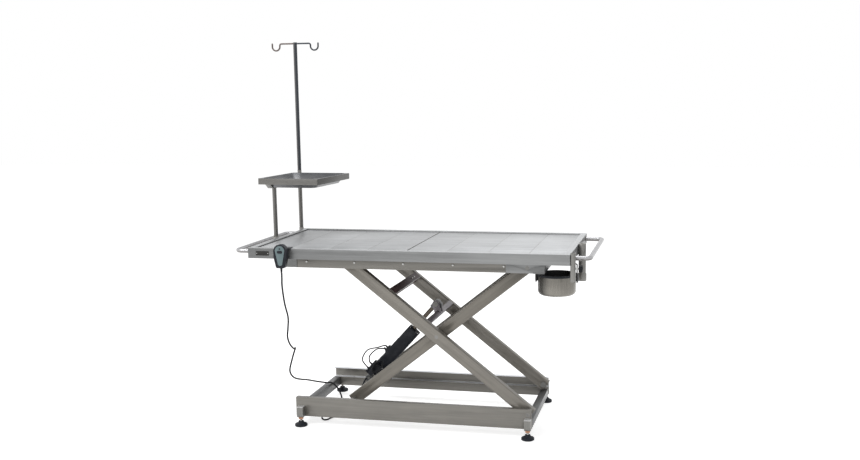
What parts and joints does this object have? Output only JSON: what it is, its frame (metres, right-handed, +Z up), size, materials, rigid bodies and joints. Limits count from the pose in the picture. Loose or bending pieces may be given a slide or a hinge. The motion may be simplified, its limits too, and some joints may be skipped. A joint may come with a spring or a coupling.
{
  "type": "veterinary surgery table",
  "caption": "Stainless surgery table for animals on a powered scissor lift, with a split lift-out deck, end handles, sockets, an instrument tray, a drip pole, a waste pot and a handset.",
  "frame": {"origin": "on the floor under the middle of the table top", "axes": "+X along the table to the end with the pot, +Y to the side with the drip pole, +Z up"},
  "size_m": [1.5028, 0.6617, 1.5913],
  "materials": {
    "satin_steel": "fine brushed stainless steel",
    "bright_steel": "bright brushed stainless steel",
    "polished_rod": "ground and polished",
    "black_plastic": "fine matt grain",
    "nylon": "turned nylon",
    "cord_rubber": "smooth cable jacket",
    "copper_nut": "passivated zinc with a copper tone",
    "pale_panel": "smooth moulded panel"
  },
  "bodies": {
    "base": {"base_rail_front": "satin_steel", "base_rail_rear": "satin_steel", "base_cross_left": "satin_steel", "base_cross_right": "satin_steel", "foot_brackets": "bright_steel", "foot_nuts": "copper_nut", "base_pivots": "bright_steel", "cord_lower": "cord_rubber"},
    "foot_front_left": {"foot_front_left": "black_plastic"},
    "foot_front_right": {"foot_front_right": "black_plastic"},
    "foot_rear_left": {"foot_rear_left": "black_plastic"},
    "foot_rear_right": {"foot_rear_right": "black_plastic"},
    "outer_arms": {"arm_outer_front": "satin_steel", "arm_outer_rear": "satin_steel", "outer_tie": "bright_steel", "clevis_tie": "satin_steel", "outer_pins": "bright_steel"},
    "roller_upper_front": {"roller_upper_front": "nylon"},
    "roller_upper_rear": {"roller_upper_rear": "nylon"},
    "inner_arms": {"arm_inner_front": "satin_steel", "arm_inner_rear": "satin_steel", "inner_tie": "satin_steel", "inner_pins": "bright_steel"},
    "roller_lower_front": {"roller_lower_front": "nylon"},
    "roller_lower_rear": {"roller_lower_rear": "nylon"},
    "platform": {"fascia_front": "satin_steel", "fascia_rear": "satin_steel", "fascia_left": "satin_steel", "fascia_right": "satin_steel", "top_rail_front": "satin_steel", "top_rail_rear": "satin_steel", "top_cross_left": "satin_steel", "top_cross_right": "satin_steel", "deck_bearers": "satin_steel", "pivot_plates": "bright_steel", "top_pivots": "bright_steel", "handle_left": "bright_steel", "handle_right": "bright_steel", "sockets_left": "bright_steel", "sockets_right": "bright_steel", "pot_hooks": "bright_steel", "cord_upper": "cord_rubber"},
    "deck_left": {"deck_left": "bright_steel"},
    "deck_right": {"deck_right": "bright_steel"},
    "stand": {"stand_frame": "satin_steel"},
    "tray": {"tray_pan": "bright_steel"},
    "drip_pole": {"drip_pole": "bright_steel"},
    "knob_left": {"knob_left": "black_plastic"},
    "knob_right": {"knob_right": "black_plastic"},
    "pot": {"pot_bowl": "bright_steel", "pot_trim": "black_plastic"},
    "handset": {"handset_body": "black_plastic", "handset_face": "pale_panel"},
    "rocker": {"handset_rocker": "black_plastic"},
    "drive": {"drive_body": "black_plastic", "drive_clevis": "bright_steel", "drive_leads": "cord_rubber", "cord_tail": "cord_rubber"},
    "drive_rod": {"drive_rod": "polished_rod", "rod_eye": "satin_steel"}
  },
  "joints": [
    {"name": "foot_front_left_thread", "type": "hinge", "parent": "base", "child": "foot_front_left", "pos_m": [-0.469, -0.26, 0], "axis": [0, 0, 1], "continuous": true},
    {"name": "foot_front_right_thread", "type": "hinge", "parent": "base", "child": "foot_front_right", "pos_m": [0.48, -0.26, 0], "axis": [0, 0, 1], "continuous": true},
    {"name": "foot_rear_left_thread", "type": "hinge", "parent": "base", "child": "foot_rear_left", "pos_m": [-0.469, 0.26, 0], "axis": [0, 0, 1], "continuous": true},
    {"name": "foot_rear_right_thread", "type": "hinge", "parent": "base", "child": "foot_rear_right", "pos_m": [0.48, 0.26, 0], "axis": [0, 0, 1], "continuous": true},
    {"name": "lift", "type": "hinge", "parent": "base", "child": "outer_arms", "pos_m": [0.478, 0, 0.0965], "axis": [0, 1, 0], "range_deg": [-17.5, 9.5]},
    {"name": "scissor", "type": "hinge", "parent": "outer_arms", "child": "inner_arms", "pos_m": [0.10531, 0, 0.391], "axis": [0, 1, 0], "range_deg": [-20, 36]},
    {"name": "level", "type": "hinge", "parent": "inner_arms", "child": "platform", "pos_m": [0.478, 0, 0.6855], "axis": [0, 1, 0], "range_deg": [-18, 10]},
    {"name": "drive_swing", "type": "hinge", "parent": "inner_arms", "child": "drive", "pos_m": [-0.24831, 0, 0.1498], "axis": [0, 1, 0], "range_deg": [-2, 1.2]},
    {"name": "rod_slide", "type": "slide", "parent": "drive", "child": "drive_rod", "axis": [0.6708, 0, 0.7416], "range_m": [-0.065, 0.036]},
    {"name": "roller_upper_front_spin", "type": "hinge", "parent": "outer_arms", "child": "roller_upper_front", "pos_m": [-0.26737, -0.23525, 0.6855], "axis": [0, 1, 0], "continuous": true},
    {"name": "roller_lower_front_spin", "type": "hinge", "parent": "inner_arms", "child": "roller_lower_front", "pos_m": [-0.26737, -0.23525, 0.0965], "axis": [0, 1, 0], "continuous": true},
    {"name": "roller_upper_rear_spin", "type": "hinge", "parent": "outer_arms", "child": "roller_upper_rear", "pos_m": [-0.26737, 0.23525, 0.6855], "axis": [0, 1, 0], "continuous": true},
    {"name": "roller_lower_rear_spin", "type": "hinge", "parent": "inner_arms", "child": "roller_lower_rear", "pos_m": [-0.26737, 0.23525, 0.0965], "axis": [0, 1, 0], "continuous": true},
    {"name": "deck_left_lift", "type": "slide", "parent": "platform", "child": "deck_left", "axis": [0, 0, 1], "range_m": [0, 0.05]},
    {"name": "deck_right_lift", "type": "slide", "parent": "platform", "child": "deck_right", "axis": [0, 0, 1], "range_m": [0, 0.05]},
    {"name": "stand_height", "type": "slide", "parent": "platform", "child": "stand", "axis": [0, 0, 1], "range_m": [0, 0.09]},
    {"name": "tray_lift", "type": "slide", "parent": "stand", "child": "tray", "axis": [0, 0, 1], "range_m": [0, 0.06]},
    {"name": "drip_pole_turn", "type": "hinge", "parent": "stand", "child": "drip_pole", "pos_m": [-0.6603, 0.302, 1.1], "axis": [0, 0, 1], "continuous": true},
    {"name": "knob_left_turn", "type": "hinge", "parent": "platform", "child": "knob_left", "pos_m": [-0.69, 0.302, 0.697], "axis": [1, 0, 0], "continuous": true},
    {"name": "knob_right_turn", "type": "hinge", "parent": "platform", "child": "knob_right", "pos_m": [0.69, -0.302, 0.697], "axis": [1, 0, 0], "continuous": true},
    {"name": "pot_lift", "type": "slide", "parent": "platform", "child": "pot", "axis": [0, 0, 1], "range_m": [0, 0.012]},
    {"name": "handset_lift", "type": "slide", "parent": "platform", "child": "handset", "axis": [0, 0, 1], "range_m": [0, 0.02]},
    {"name": "rocker_tilt", "type": "hinge", "parent": "handset", "child": "rocker", "pos_m": [-0.5005, -0.3429, 0.74], "axis": [0, 0, 1], "range_deg": [-4, 4], "stiffness_Nm_per_rad": 0.02}
  ],
  "couplings": [
    {"joint": "scissor", "follows": "lift", "ratio": -2},
    {"joint": "level", "follows": "lift", "ratio": 1},
    {"joint": "drive_swing", "follows": "lift", "ratio": 0.088},
    {"joint": "rod_slide", "follows": "lift", "m_per_rad": 0.201}
  ]
}
